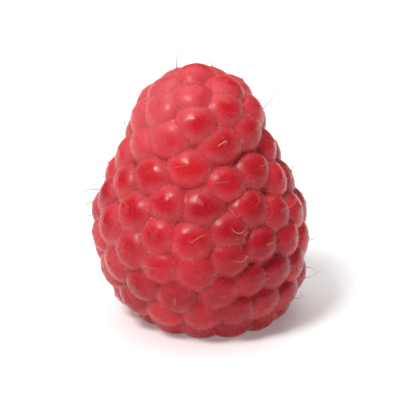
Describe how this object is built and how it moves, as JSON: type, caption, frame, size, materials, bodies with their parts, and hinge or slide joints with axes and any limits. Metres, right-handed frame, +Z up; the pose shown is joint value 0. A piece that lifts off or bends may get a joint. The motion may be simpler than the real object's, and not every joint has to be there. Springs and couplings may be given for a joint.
{
  "type": "raspberry",
  "caption": "Picked red raspberry: a blunt dome of merged drupelets round the open hollow that its core leaves, standing on its rim with the tip up.",
  "frame": {"origin": "straight below the tip, on the surface that the fruit stands on", "axes": "+Z up from the open rim to the tip, along the hollow; +X to the side that the rim leans to"},
  "size_m": [0.0219, 0.0218, 0.0264],
  "materials": {
    "flesh": "satin",
    "hair": "matte"
  },
  "bodies": {
    "root": {"raspberry": "flesh"}
  },
  "joints": []
}
